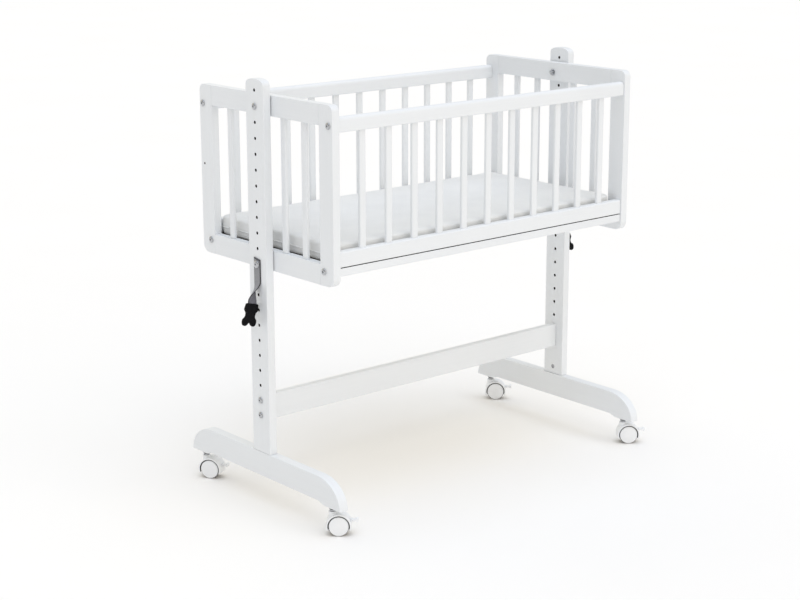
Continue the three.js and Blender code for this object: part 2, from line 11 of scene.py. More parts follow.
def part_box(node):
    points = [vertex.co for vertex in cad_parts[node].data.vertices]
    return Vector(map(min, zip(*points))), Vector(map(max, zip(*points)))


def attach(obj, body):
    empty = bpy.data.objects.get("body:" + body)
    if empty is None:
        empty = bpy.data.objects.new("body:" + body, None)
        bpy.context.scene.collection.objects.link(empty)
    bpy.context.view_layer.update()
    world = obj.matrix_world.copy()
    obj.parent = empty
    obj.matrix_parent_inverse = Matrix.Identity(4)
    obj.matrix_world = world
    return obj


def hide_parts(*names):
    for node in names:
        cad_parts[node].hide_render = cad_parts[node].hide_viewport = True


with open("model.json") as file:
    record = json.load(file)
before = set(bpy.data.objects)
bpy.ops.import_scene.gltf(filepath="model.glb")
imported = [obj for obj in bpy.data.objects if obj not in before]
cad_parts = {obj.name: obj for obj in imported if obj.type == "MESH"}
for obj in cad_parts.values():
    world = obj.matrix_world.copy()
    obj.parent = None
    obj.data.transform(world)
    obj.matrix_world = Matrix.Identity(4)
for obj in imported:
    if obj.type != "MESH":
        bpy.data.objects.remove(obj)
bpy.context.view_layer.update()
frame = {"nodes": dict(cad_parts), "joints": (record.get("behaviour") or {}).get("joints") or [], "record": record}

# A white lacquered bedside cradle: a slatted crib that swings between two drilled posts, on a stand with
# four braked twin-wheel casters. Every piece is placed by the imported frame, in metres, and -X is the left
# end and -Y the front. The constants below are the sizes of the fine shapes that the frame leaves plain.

MM = 0.001
KAPPA = 0.5523  # handle length of a cubic curve that follows a quarter circle
QUARTER = math.pi / 2

# ---- Sizes ----

EASING = 1.2 * MM  # radius of the boards' rounded arrises
FOOT_EASING = 2 * MM
SLAT_END_EASING = 0.3 * MM
SEAM_EASING = 0.3 * MM  # where two boards are glued flush
SEAM_RUN = 0.8 * MM  # over which an arris fades out towards a seam
HOLE_RIM = 0.35 * MM
ARRIS_STEPS = 4

HOLE_RADIUS = 3.3 * MM
HOLE_PITCH = 32 * MM
HOLE_COUNT = 22
PIVOT_HOLE = 1  # counted from the top hole, which is 0
POST_ARCH = 13 * MM  # height of a post's rounded top
POST_CROWN = 4 * MM  # how far below the top the arch's handles start
POST_FLATNESS = 0.62  # how far across the post its top's handles reach
HOLE_SIDES = 20
BARREL_NUT = {"z": 133.5 * MM, "radius": 5 * MM, "depth": 14 * MM, "recess": 1.2 * MM}

STILE_TOP_RADIUS = 14 * MM
STILE_BOTTOM_RADIUS = 18 * MM
HOOK_HOLE = {"z": 693.5 * MM, "y": 208.6 * MM, "radius": 2.4 * MM, "depth": 9 * MM}

FOOT_NOSE = 72 * MM
FOOT_PAD_INNER = 205 * MM
FOOT_PAD_SLOPE = 18 * MM
FOOT_BRIDGE_RISE = 5.6 * MM

SIDE_RAIL_TOP = 30 * MM  # height of the top rail
SIDE_RAIL_BOTTOM = 31 * MM
SIDE_TOP_RADII = (2 * MM, 8 * MM)  # of a rail's lower and upper arrises
SIDE_BOTTOM_RADII = (1.5 * MM, 4 * MM)
SIDE_SLATS = 11
SIDE_SLAT_PITCH = 67.3 * MM
SLAT_WIDTH = 16 * MM
SLAT_THICKNESS = 8 * MM
SLAT_RADIUS = 3 * MM
BASE_RADII = (1.5 * MM, 0.8 * MM)
PAINTED_SHADE_DEPTH = 0.05 * MM  # faces this near to the joint of side frame and base board take near-black painted shade

BOLT_RADIUS = 3 * MM
BOLT_HEAD_HEIGHT = 3.3 * MM
BOLT_SOCKET = 2.1 * MM  # half the hexagon, across its corners
BOLT_SOCKET_DEPTH = 1.9 * MM
BOLT_CROWN_TURN = math.radians(70)  # how far round a head's domed top goes
THREAD_PITCH = 1 * MM
THREAD_TURNS = 9

STRAP_WIDTH = 20 * MM
STRAP_THICKNESS = 2.4 * MM
STRAP_STEPS = 90
STRAP_COLUMNS = 14
STRAP_SLANT = 3.7 * MM  # how much higher one corner of its cut top is
STRAP_SLANT_STEPS = 12  # over which the slant of its top fades out
STRAP_SELVEDGE = 0.05  # share of its width that thins towards each side
STRAP_THINNING = 0.35  # how much thinner its very edge is
STRAP_CURL = 0.9  # how far round it curls where it twists, in radians

# ---- Mesh helpers ----

PLACES = {
    "x": lambda a, b, depth: Vector((depth, a, b)),
    "y": lambda a, b, depth: Vector((a, depth, b)),
    "z": lambda a, b, depth: Vector((a, b, depth)),
}


def area(points):
    """Twice the signed area of a flat outline, positive when it runs anticlockwise."""
    return sum(p.cross(points[(i + 1) % len(points)]) for i, p in enumerate(points))


def rounded(corners, steps=8):
    """An anticlockwise outline through corners, each (a, b, setback of its rounding)."""
    outline = []
    for i, (a, b, radius) in enumerate(corners):
        corner = Vector((a, b))
        if radius == 0:
            outline.append(corner)
            continue
        back = (Vector(corners[i - 1][:2]) - corner).normalized()
        ahead = (Vector(corners[(i + 1) % len(corners)][:2]) - corner).normalized()
        near = radius * (1 - KAPPA)
        handles = [back * radius, back * near, ahead * near, ahead * radius]
        outline += interpolate_bezier(*[corner + handle for handle in handles], steps + 1)
    return outline if area(outline) > 0 else outline[::-1]


def rectangle(a0, b0, a1, b1, lower=0, upper=0, steps=8):
    """A rectangle whose lower and upper corners have their own radii."""
    return rounded([(a0, b0, lower), (a1, b0, lower), (a1, b1, upper), (a0, b1, upper)], steps)


def circle(a, b, radius, sides=28):
    """A hole's outline, which runs clockwise."""
    turns = [-i / sides * math.tau for i in range(sides)]
    return [Vector((a + radius * math.cos(t), b + radius * math.sin(t))) for t in turns]


def inset(points, amounts):
    """The closed outline with each point moved to its left by its own amount."""
    moved = []
    for i, point in enumerate(points):
        before = (point - points[i - 1]).normalized()
        after = (points[(i + 1) % len(points)] - point).normalized()
        left = Vector((-before.y, before.x))
        normal = (left + Vector((-after.y, after.x))).normalized()
        moved.append(point + normal * (amounts[i] / max(normal.dot(left), 0.4)))
    return moved


def add_rings(bm, rings, close=False, lined=None):
    """Joins rings of equally many points with quads, and returns the rings of vertices.

    The band that starts at ring number lined takes the piece's second material, its painted shade.
    """
    rows = [[bm.verts.new(point) for point in ring] for ring in rings]
    pairs = list(zip(rows, rows[1:]))
    if close:
        pairs.append((rows[-1], rows[0]))
    for number, (lower, upper) in enumerate(pairs):
        for i in range(len(lower)):
            face = bm.faces.new((lower[i - 1], lower[i], upper[i], upper[i - 1]))
            face.material_index = int(number == lined)
    return rows


def fill(bm, loops):
    """Fills the flat space inside the first loop and outside the others."""
    if len(loops) == 1:
        bm.faces.new(loops[0])
        return
    vertices = [v for loop in loops for v in loop]
    for triangle in tessellate_polygon([[v.co for v in loop] for loop in loops]):
        bm.faces.new([vertices[i] for i in triangle])


def arris(points, radii, face, inward, place):
    """Rings from a board's face round its arris to its side."""
    rings = []
    for step in range(ARRIS_STEPS + 1):
        turn = step / ARRIS_STEPS * QUARTER
        moved = inset(points, [r * (1 - math.sin(turn)) for r in radii])
        depths = [face + inward * r * (1 - math.cos(turn)) for r in radii]
        rings.append([place(p.x, p.y, depth) for p, depth in zip(moved, depths)])
    return rings


def add_board(bm, axis, span, outline, holes=(), pits=(), easing=EASING, rim=HOLE_RIM):
    """Adds a board between two planes across an axis, with rounded arrises.

    Holes go right through. A pit is (outline, face, depth), open at the one face it starts from.
    easing is a radius, or a function that gives it for a point of the outline.
    """
    place = PLACES[axis]
    low, high = span
    caps = {low: [], high: []}
    for points, size in [(outline, easing)] + [(hole, rim) for hole in holes]:
        radii = [size(p) if callable(size) else size for p in points]
        rings = arris(points, radii, low, 1, place) + arris(points, radii, high, -1, place)[::-1]
        # A hole's wall takes the second material, near-black painted shade.
        rows = add_rings(bm, rings, lined=None if points is outline else ARRIS_STEPS)
        caps[low].append(rows[0])
        caps[high].append(rows[-1])
    for points, face, depth in pits:
        inward = 1 if face == low else -1
        rings = arris(points, [rim] * len(points), face, inward, place)
        rings.append([place(p.x, p.y, face + inward * depth) for p in points])
        rows = add_rings(bm, rings, lined=ARRIS_STEPS)
        # A pit's floor takes the second material, near-black painted shade.
        bm.faces.new(rows[-1]).material_index = 1
        caps[face].append(rows[0])
    for loops in caps.values():
        fill(bm, loops)


def hexagon(corner):
    """The radius of a hexagon at an angle, corner being its radius to a corner."""
    return lambda angle: corner * math.cos(math.pi / 6) / math.cos(angle % (math.pi / 3) - math.pi / 6)


def add_turned(bm, profile, sides=48, matrix=None, closed=False):
    """Adds a round form about Z through (radius, height) points.

    A radius may be a function of the angle.
    """
    angles = [i / sides * math.tau for i in range(sides)]
    rings = []
    for radius, height in profile:
        reach = radius if callable(radius) else lambda angle, r=radius: r
        rings.append([Vector((reach(t) * math.cos(t), reach(t) * math.sin(t), height)) for t in angles])
    if matrix:
        rings = [[matrix @ point for point in ring] for ring in rings]
    rows = add_rings(bm, rings, close=closed)
    if not closed:
        bm.faces.new(rows[0])
        bm.faces.new(rows[-1])


def arc(centre, radius, start, end, steps=6):
    """(a, b) points of an arc, with its angles in degrees."""
    turns = [math.radians(start + (end - start) * i / steps) for i in range(steps + 1)]
    return [(centre[0] + radius * math.cos(t), centre[1] + radius * math.sin(t)) for t in turns]


def shaded(piece, sharp=40):
    """Smooth shading that leaves flat faces flat and keeps edges sharper than an angle."""
    piece.data.shade_smooth()
    piece.data.set_sharp_from_angle(angle=math.radians(sharp))
    weighted = piece.modifiers.new("weighted", "WEIGHTED_NORMAL")
    weighted.keep_sharp = True


BODY_OF = {node: body for body, nodes in frame["record"]["behaviour"]["bodies"].items() for node in nodes}


def finished(name, bm, material, nodes, sharp=40, painted_shade_material=None):
    """A finished piece from a mesh: it stands for CAD nodes and rides on their body."""
    has_painted_shade = any(face.material_index for face in bm.faces)
    bmesh.ops.recalc_face_normals(bm, faces=bm.faces)
    mesh = bpy.data.meshes.new(name)
    bm.to_mesh(mesh)
    bm.free()
    mesh.materials.append(material)
    if has_painted_shade:
        mesh.materials.append(painted_shade_material)
    piece = bpy.data.objects.new(name, mesh)
    bpy.context.scene.collection.objects.link(piece)
    shaded(piece, sharp)
    return attached(piece, nodes)


def attached(piece, nodes):
    """Puts a piece on the body that its nodes ride on, and hides the CAD nodes that it stands for."""
    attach(piece, BODY_OF[nodes[0]])
    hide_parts(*nodes)
    return piece


# ---- Materials ----


def join(tree, node, sockets):
    """Feeds a node's inputs from other nodes' outputs, or sets them to plain values."""
    for key, value in sockets.items():
        if isinstance(value, bpy.types.NodeSocket):
            tree.links.new(value, node.inputs[key])
        else:
            node.inputs[key].default_value = value


def add_node(tree, kind, inputs=None, **settings):
    """Adds a shader node with its settings and inputs."""
    node = tree.nodes.new(kind)
    for key, value in settings.items():
        setattr(node, key, value)
    join(tree, node, inputs or {})
    return node


def noise(tree, per_metre, detail=2.0, roughness=0.5, source="Object"):
    """Noise whose features number so many to the metre along each axis."""
    coords = add_node(tree, "ShaderNodeTexCoord")
    mapping = add_node(tree, "ShaderNodeMapping", {"Vector": coords.outputs[source], "Scale": per_metre})
    inputs = {"Vector": mapping.outputs["Vector"], "Scale": 1.0, "Detail": detail, "Roughness": roughness}
    return add_node(tree, "ShaderNodeTexNoise", inputs).outputs["Fac"]


def wave(tree, per_metre, direction, source, profile="SIN"):
    """Parallel ridges, so many to the metre across the direction."""
    coords = add_node(tree, "ShaderNodeTexCoord")
    scale = per_metre * math.tau / 20  # a wave texture repeats every 20 / tau of its own units
    inputs = {"Vector": coords.outputs[source], "Scale": scale, "Distortion": 0.0}
    settings = {"wave_type": "BANDS", "bands_direction": direction, "wave_profile": profile}
    return add_node(tree, "ShaderNodeTexWave", inputs, **settings).outputs["Fac"]


def ramp(tree, factor, stops):
    """A colour ramp through (position, colour) stops."""
    node = add_node(tree, "ShaderNodeValToRGB", {"Fac": factor})
    elements = node.color_ramp.elements
    elements[0].position, elements[0].color = stops[0][0], (*stops[0][1], 1)
    elements[1].position, elements[1].color = stops[-1][0], (*stops[-1][1], 1)
    for position, color in stops[1:-1]:
        elements.new(position).color = (*color, 1)
    return node.outputs["Color"]


def span(tree, factor, low, high):
    """The factor spread from low to high."""
    inputs = {"Value": factor, "To Min": low, "To Max": high}
    return add_node(tree, "ShaderNodeMapRange", inputs).outputs["Result"]


def math_node(tree, operation, first, second):
    """One sum, product or other operation on two values."""
    return add_node(tree, "ShaderNodeMath", {0: first, 1: second}, operation=operation).outputs[0]


def blend(tree, first, second, share):
    """A share of the first factor, and the rest of the second."""
    part = math_node(tree, "MULTIPLY", first, share)
    rest = math_node(tree, "MULTIPLY", second, 1 - share)
    return math_node(tree, "ADD", part, rest)


def fade(tree, value, start, end):
    """0 below start, 1 above end."""
    inputs = {"Value": value, "From Min": start, "From Max": end}
    return add_node(tree, "ShaderNodeMapRange", inputs).outputs["Result"]


def mixed(tree, factor, first, second):
    """One colour turning into another."""
    inputs = {"Factor": factor, 6: first, 7: second}
    return add_node(tree, "ShaderNodeMix", inputs, data_type="RGBA").outputs[2]


def bump(tree, height, strength, distance, under=None):
    """A bump of so many metres, on top of another bump's normal."""
    inputs = {"Height": height, "Strength": strength, "Distance": distance}
    if under:
        inputs["Normal"] = under
    return add_node(tree, "ShaderNodeBump", inputs).outputs["Normal"]


def new_material(name):
    """A node material, its tree and its shader."""
    material = bpy.data.materials.new(name)
    material.use_nodes = True
    tree = material.node_tree
    return material, tree, tree.nodes["Principled BSDF"]


def lacquer(axis):
    """Satin white lacquer on beech, whose grain runs along an axis and only just telegraphs through."""
    material, tree, shader = new_material(f"lacquer_grain_{axis}")
    along = "xyz".index(axis)
    fine = [700.0] * 3
    fine[along] = 16.0
    broad = [70.0] * 3
    broad[along] = 3.0
    fibres = noise(tree, fine, detail=3.0, roughness=0.6)
    figure = noise(tree, broad, detail=2.0)
    tone = noise(tree, [5.0] * 3, detail=1.0)
    orange_peel = noise(tree, [420.0] * 3, detail=1.0)
    grain = blend(tree, fibres, figure, 0.6)
    tint = blend(tree, grain, tone, 0.55)
    whites = [(0.3, (0.775, 0.795, 0.815)), (0.5, (0.80, 0.82, 0.84)), (0.7, (0.82, 0.84, 0.858))]
    normal = bump(tree, grain, 0.35, 0.1 * MM)
    normal = bump(tree, orange_peel, 0.12, 0.03 * MM, under=normal)
    join(tree, shader, {
        "Base Color": ramp(tree, tint, whites),
        "Roughness": span(tree, tone, 0.33, 0.47),
        "Normal": normal,
        "Coat Weight": 0.18,
        "Coat Roughness": 0.22,
    })
    return material


def cotton():
    """A fine white cotton cover: a plain weave and a soft nap."""
    material, tree, shader = new_material("cotton_cover")
    warp = wave(tree, 1400, "X", "Object")
    weft = wave(tree, 1400, "Y", "Object")
    weave = math_node(tree, "MULTIPLY", warp, weft)
    slub = noise(tree, [90.0, 900.0, 900.0], detail=2.0)
    tone = noise(tree, [14.0] * 3, detail=2.0)
    tint = blend(tree, slub, tone, 0.35)
    color = ramp(tree, tint, [(0.3, (0.735, 0.74, 0.735)), (0.7, (0.79, 0.795, 0.785))])
    normal = bump(tree, weave, 0.45, 0.12 * MM)
    normal = bump(tree, slub, 0.25, 0.1 * MM, under=normal)
    join(tree, shader, {
        "Base Color": color,
        "Roughness": span(tree, slub, 0.84, 0.96),
        "Normal": normal,
        "Sheen Weight": 0.25,
        "Sheen Roughness": 0.5,
    })
    return material


def moulded(name, light, dark, roughness, texture=0.12, shine=0.5):
    """Moulded plastic with a fine spark-eroded texture."""
    material, tree, shader = new_material(name)
    tone = noise(tree, [35.0] * 3, detail=2.0)
    grit = noise(tree, [1600.0] * 3, detail=2.0)
    join(tree, shader, {
        "Base Color": ramp(tree, tone, [(0.3, dark), (0.7, light)]),
        "Roughness": span(tree, tone, roughness - 0.05, roughness + 0.08),
        "Normal": bump(tree, grit, texture, 0.06 * MM),
        "Specular IOR Level": shine,
    })
    return material


def painted_shade_wood_material():
    """Near-black painted shade on the walls and floors of drilled holes and on faces where boards meet, with faint
    wood rings.
    """
    material, tree, shader = new_material("wood_painted_shade")
    rings = noise(tree, [900.0, 500.0, 500.0], detail=2.0)
    join(tree, shader, {
        "Base Color": ramp(tree, rings, [(0.3, (0.035, 0.03, 0.026)), (0.7, (0.075, 0.066, 0.058))]),
        "Roughness": span(tree, rings, 0.8, 0.95),
        "Normal": bump(tree, rings, 0.3, 0.1 * MM),
    })
    return material


def rubber():
    """A grey soft tread, dusty where it has rolled."""
    material, tree, shader = new_material("tread_rubber")
    dust = noise(tree, [260.0] * 3, detail=4.0, roughness=0.65)
    grit = noise(tree, [1400.0] * 3, detail=2.0)
    join(tree, shader, {
        "Base Color": ramp(tree, dust, [(0.35, (0.2, 0.203, 0.21)), (0.75, (0.3, 0.303, 0.308))]),
        "Roughness": span(tree, dust, 0.55, 0.8),
        "Normal": bump(tree, grit, 0.25, 0.08 * MM),
    })
    return material


def zinc():
    """Bright zinc plate with fine turning marks."""
    material, tree, shader = new_material("zinc_plate")
    bloom = noise(tree, [420.0] * 3, detail=3.0)
    marks = noise(tree, [2600.0, 1500.0, 1500.0], detail=2.0)
    join(tree, shader, {
        "Base Color": ramp(tree, bloom, [(0.3, (0.4, 0.41, 0.43)), (0.7, (0.56, 0.57, 0.585))]),
        "Metallic": 1.0,
        "Roughness": span(tree, bloom, 0.16, 0.3),
        "Normal": bump(tree, marks, 0.15, 0.03 * MM),
    })
    return material


def webbing():
    """Grey polypropylene webbing: ribs across the strap, near-black along its sides and cut top, and a back
    darkened with painted shade.

    Its UV map runs across the strap from its middle and down from its top, and the back is a metre lower.
    """
    material, tree, shader = new_material("strap_webbing")
    ribs = wave(tree, 500, "Y", "UV")
    ends = wave(tree, 700, "X", "UV")
    weave = math_node(tree, "MULTIPLY", ribs, span(tree, ends, 0.4, 1.0))
    coords = add_node(tree, "ShaderNodeTexCoord")
    place = add_node(tree, "ShaderNodeSeparateXYZ", {0: coords.outputs["UV"]})
    across = math_node(tree, "ABSOLUTE", place.outputs["X"], 0.0)
    beside = fade(tree, across, STRAP_WIDTH / 2 - 1.1 * MM, STRAP_WIDTH / 2 - 0.6 * MM)
    above = fade(tree, place.outputs["Y"], -2.6 * MM, -1.8 * MM)
    rim = math_node(tree, "MAXIMUM", beside, above)
    front = fade(tree, place.outputs["Y"], -0.6, -0.4)
    face = ramp(tree, weave, [(0.1, (0.22, 0.225, 0.238)), (0.9, (0.42, 0.425, 0.445))])
    # The back's darker colour is painted shade.
    back = ramp(tree, weave, [(0.1, (0.1, 0.1, 0.118)), (0.9, (0.24, 0.24, 0.275))])
    color = mixed(tree, rim, mixed(tree, front, back, face), (0.012, 0.012, 0.015, 1))
    join(tree, shader, {
        "Base Color": color,
        "Roughness": span(tree, weave, 0.9, 0.7),
        "Normal": bump(tree, weave, 0.7, 0.25 * MM),
        "Sheen Weight": 0.1,
    })
    return material


def floor_paint():
    """A pale warm studio floor."""
    material, tree, shader = new_material("studio_floor")
    tone = noise(tree, [2.0] * 3, detail=2.0)
    join(tree, shader, {
        "Base Color": ramp(tree, tone, [(0.3, (0.929, 0.909, 0.875)), (0.7, (0.934, 0.914, 0.885))]),
        "Roughness": 0.9,
        "Specular IOR Level": 0.0,
    })
    return material


LACQUER = {axis: lacquer(axis) for axis in "xyz"}
COTTON = cotton()
# Near-black painted shade for drilled holes, pits and the joints under the side frames.
PAINTED_SHADE_WOOD = painted_shade_wood_material()
NYLON = moulded("caster_nylon", (0.87, 0.88, 0.895), (0.83, 0.845, 0.86), 0.38)
# Near-black painted shade for the inside of the casters' hoods and their webs.
PAINTED_SHADE_PLASTIC = moulded("caster_painted_shade", (0.03, 0.03, 0.032), (0.02, 0.02, 0.022), 0.7)
ACETAL = moulded(
    "buckle_acetal",
    (0.003, 0.003, 0.004),
    (0.002, 0.002, 0.003),
    0.55,
    texture=0.25,
    shine=0.12,
)
RUBBER = rubber()
ZINC = zinc()
WEBBING = webbing()

SIDES = {"left": -1, "right": 1}
EDGES = {"front": -1, "rear": 1}


def wood(name, bm, grain, node):
    """A lacquered board with its grain along an axis, and near-black painted shade in its drilled holes and on its
    marked faces.
    """
    return finished(name, bm, LACQUER[grain], [node], painted_shade_material=PAINTED_SHADE_WOOD)


# ---- Stand ----


def middle(node):
    """The middle of a node's box."""
    low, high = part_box(node)
    return (low + high) / 2


TOP_HOLE_Z = middle("pivot_bolt_left").z + PIVOT_HOLE * HOLE_PITCH


def post(side, sign):
    """A drilled post with a rounded top."""
    node = f"post_{side}"
    low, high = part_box(node)
    half = high.y
    shoulder = high.z - POST_ARCH
    crown = high.z - POST_CROWN
    reach = half * POST_FLATNESS
    right = interpolate_bezier((half, shoulder), (half, crown), (reach, high.z), (0, high.z), 14)
    left = interpolate_bezier((0, high.z), (-reach, high.z), (-half, crown), (-half, shoulder), 14)
    outline = [Vector((-half, low.z)), Vector((half, low.z)), *right, *left[1:]]
    heights = [TOP_HOLE_Z - i * HOLE_PITCH for i in range(HOLE_COUNT)]
    holes = [circle(0, height, HOLE_RADIUS, HOLE_SIDES) for height in heights]
    bm = bmesh.new()
    inner = high.x if sign < 0 else low.x
    pit = (circle(0, BARREL_NUT["z"], BARREL_NUT["radius"]), inner, BARREL_NUT["depth"])
    add_board(bm, "x", (low.x, high.x), outline, holes, [pit])
    wood(f"{node}_board", bm, "z", node)
    barrel_nut(side, sign, inner, node)


def barrel_nut(side, sign, face, node):
    """The cross nut, dimpled in its middle, that the bolt up through the foot screws into."""
    radius = BARREL_NUT["radius"] - 0.15 * MM
    end = BARREL_NUT["recess"] - BARREL_NUT["depth"]
    profile = [(radius, end), (radius, -0.5 * MM), (radius - 0.5 * MM, 0)]
    profile += [(radius * 0.45, 0), (radius * 0.4, -0.8 * MM)]
    bm = bmesh.new()
    turn = Matrix.Rotation(QUARTER * -sign, 4, "Y")
    place = Matrix.Translation((face + sign * BARREL_NUT["recess"], 0, BARREL_NUT["z"]))
    add_turned(bm, profile, 32, place @ turn)
    finished(f"barrel_nut_{side}", bm, ZINC, [node])


def foot(side):
    """A foot with rounded ends, standing on its casters, with a shallow arch under its middle."""
    node = f"foot_{side}"
    low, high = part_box(node)
    half = high.y
    nose = half - FOOT_NOSE
    rise = high.z - low.z
    bridge = low.z + FOOT_BRIDGE_RISE
    slope_top = FOOT_PAD_INNER - FOOT_PAD_SLOPE
    steps = 26
    curve = [i / steps * QUARTER for i in range(steps + 1)]
    right = [Vector((nose + FOOT_NOSE * math.cos(t), low.z + rise * math.sin(t))) for t in curve]
    left = [Vector((-p.x, p.y)) for p in reversed(right)]
    arch = [Vector((slope_top, bridge)), Vector((FOOT_PAD_INNER, low.z))]
    mirrored = [Vector((-p.x, p.y)) for p in reversed(arch)]
    outline = mirrored + arch + right + left
    bm = bmesh.new()
    add_board(bm, "x", (low.x, high.x), outline, easing=FOOT_EASING)
    wood(f"{node}_board", bm, "y", node)


def stretcher():
    """The board that joins the posts."""
    low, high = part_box("stretcher")
    outline = rectangle(low.y, low.z, high.y, high.z, 2.4 * MM, 2.4 * MM)
    bm = bmesh.new()
    add_board(bm, "x", (low.x, high.x), outline, easing=0.5 * MM)
    wood("stretcher_board", bm, "x", "stretcher")


# ---- Crib ends ----


def stile(side, edge, edge_sign):
    """An upright of an end panel, its arrises fading out where the rails are glued flush to it."""
    node = f"stile_{side}_{edge}"
    low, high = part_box(node)
    inner, outer = (high.y, low.y) if edge_sign < 0 else (low.y, high.y)
    top_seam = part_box(f"end_top_rail_{side}")[0].z
    bottom_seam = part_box(f"end_bottom_rail_{side}")[1].z
    seam_points = [bottom_seam, bottom_seam + SEAM_RUN, top_seam - SEAM_RUN, top_seam]
    corners = [(inner, high.z, 0)]
    corners += [(inner, z, 0) for z in reversed(seam_points)]
    corners += [(inner, low.z, 0), (outer, low.z, STILE_BOTTOM_RADIUS), (outer, high.z, STILE_TOP_RADIUS)]
    outline = rounded(corners, 12)

    def easing(point):
        beside_rail = not bottom_seam + SEAM_RUN / 2 < point.y < top_seam - SEAM_RUN / 2
        return SEAM_EASING if abs(point.x - inner) < SEAM_RUN and beside_rail else EASING

    bolts = [middle(f"{kind}_bolt_{side}_{edge}") for kind in ("side", "base")]
    holes = [circle(bolt.y, bolt.z, HOLE_RADIUS, HOLE_SIDES) for bolt in bolts]
    pits = []
    if (side, edge) == ("left", "rear"):
        hook = circle(HOOK_HOLE["y"], HOOK_HOLE["z"], HOOK_HOLE["radius"], HOLE_SIDES)
        pits.append((hook, low.x, HOOK_HOLE["depth"]))
    bm = bmesh.new()
    add_board(bm, "x", (low.x, high.x), outline, holes, pits, easing)
    wood(f"{node}_board", bm, "z", node)


def end_rail(side, which):
    """A rail of an end panel, drilled in its middle for the bolt that meets it."""
    node = f"end_{which}_rail_{side}"
    low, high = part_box(node)
    corners = []
    for a0, a1, b in ((low.y, high.y, low.z), (high.y, low.y, high.z)):
        run = SEAM_RUN if a1 > a0 else -SEAM_RUN
        corners += [(a0, b, 0), (a0 + run, b, 0), (a1 - run, b, 0), (a1, b, 0)]
    bolt = middle(f"pivot_bolt_{side}" if which == "top" else f"lock_bolt_{side}")
    bm = bmesh.new()
    add_board(
        bm,
        "x",
        (low.x, high.x),
        rounded(corners),
        [circle(0, bolt.z, HOLE_RADIUS, HOLE_SIDES)],
        easing=lambda point: SEAM_EASING if abs(point.x) > high.y - SEAM_RUN / 2 else EASING,
    )
    wood(f"{node}_board", bm, "y", node)


def end_slat(side, number):
    """An upright slat between an end panel's rails."""
    node = f"end_slat_{side}_{number}"
    low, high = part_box(node)
    section = rectangle(low.x, low.y, high.x, high.y, SLAT_RADIUS, SLAT_RADIUS)
    bm = bmesh.new()
    add_board(bm, "z", (low.z, high.z), section, easing=SLAT_END_EASING)
    wood(f"{node}_board", bm, "z", node)


# ---- Crib sides and base ----


def side_frame(edge):
    """A glued ladder. Its rails have their grain lengthwise, and its slats upright."""
    node = f"side_frame_{edge}"
    low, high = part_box(node)
    top_rail = (high.z - SIDE_RAIL_TOP, high.z, SIDE_TOP_RADII)
    bottom_rail = (low.z, low.z + SIDE_RAIL_BOTTOM, SIDE_BOTTOM_RADII)
    bm = bmesh.new()
    for bottom, top, radii in (top_rail, bottom_rail):
        add_board(bm, "x", (low.x, high.x), rectangle(low.y, bottom, high.y, top, *radii), easing=0.4 * MM)
    # The bottom rail's underside is near-black painted shade for the slit over the base board.
    for face in bm.faces:
        face.material_index = int(all(v.co.z < low.z + PAINTED_SHADE_DEPTH for v in face.verts))
    wood(f"{node}_rails", bm, "x", node)
    centre = middle(node)
    wide, deep = SLAT_WIDTH / 2, SLAT_THICKNESS / 2
    bm = bmesh.new()
    for i in range(SIDE_SLATS):
        x = centre.x + (i - (SIDE_SLATS - 1) / 2) * SIDE_SLAT_PITCH
        section = rectangle(x - wide, centre.y - deep, x + wide, centre.y + deep, SLAT_RADIUS, SLAT_RADIUS)
        add_board(bm, "z", (bottom_rail[1], top_rail[0]), section, easing=0.02 * MM)
    wood(f"{node}_slats", bm, "z", node)


def base_board():
    """The board under the mattress, with near-black painted shade on its top face so the gap beside the mattress
    looks dark.
    """
    low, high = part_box("base_board")
    section = rectangle(low.y, low.z, high.y, high.z, *BASE_RADII)
    bm = bmesh.new()
    add_board(bm, "x", (low.x, high.x), section, easing=0.4 * MM)
    # The top face is near-black painted shade for the dark gap beside the mattress.
    for face in bm.faces:
        face.material_index = int(all(v.co.z > high.z - PAINTED_SHADE_DEPTH for v in face.verts))
    wood("base_board_panel", bm, "x", "base_board")


# ---- Bolts ----


def fastener(node):
    """Where a bolt or nut along X lies, with +Z towards its outer end, its radius and its length."""
    low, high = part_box(node)
    centre = (low + high) / 2
    sign = 1 if centre.x > 0 else -1
    outer = high.x if sign > 0 else low.x
    place = Matrix.Translation((outer, centre.y, centre.z)) @ Matrix.Rotation(QUARTER * sign, 4, "Y")
    return place, (high.y - low.y) / 2, high.x - low.x


def bolt(node):
    """A button-head bolt with a hexagon socket and a thread at its end."""
    place, radius, length = fastener(node)
    shoulder = -BOLT_HEAD_HEIGHT
    thread_start = -length + THREAD_TURNS * THREAD_PITCH + 0.5 * MM
    profile = [(BOLT_RADIUS * 0.75, -length), (BOLT_RADIUS * 0.92, -length + 0.4 * MM)]
    for turn in range(THREAD_TURNS):
        height = -length + 0.5 * MM + turn * THREAD_PITCH
        profile += [(BOLT_RADIUS * 0.86, height), (BOLT_RADIUS, height + THREAD_PITCH / 2)]
    profile += [(BOLT_RADIUS, thread_start), (BOLT_RADIUS, shoulder), (radius - 0.25 * MM, shoulder)]
    profile += [(radius, shoulder + 0.3 * MM), (radius, shoulder + 0.75 * MM)]
    crown = BOLT_HEAD_HEIGHT - 0.75 * MM
    reach = radius - BOLT_SOCKET - 0.5 * MM
    for i in range(1, 7):
        t = i / 6 * BOLT_CROWN_TURN
        inward = reach * (1 - math.cos(t)) / (1 - math.cos(BOLT_CROWN_TURN))
        upward = crown * math.sin(t) / math.sin(BOLT_CROWN_TURN)
        profile.append((radius - inward, upward - crown))
    wall = hexagon(BOLT_SOCKET * 0.96)
    profile += [(hexagon(BOLT_SOCKET), -0.05 * MM), (wall, -0.2 * MM), (wall, -BOLT_SOCKET_DEPTH)]
    profile.append((0.3 * MM, -BOLT_SOCKET_DEPTH - 0.4 * MM))
    bm = bmesh.new()
    add_turned(bm, profile, 36, place)
    finished(f"{node}_button_head", bm, ZINC, [node], sharp=30)


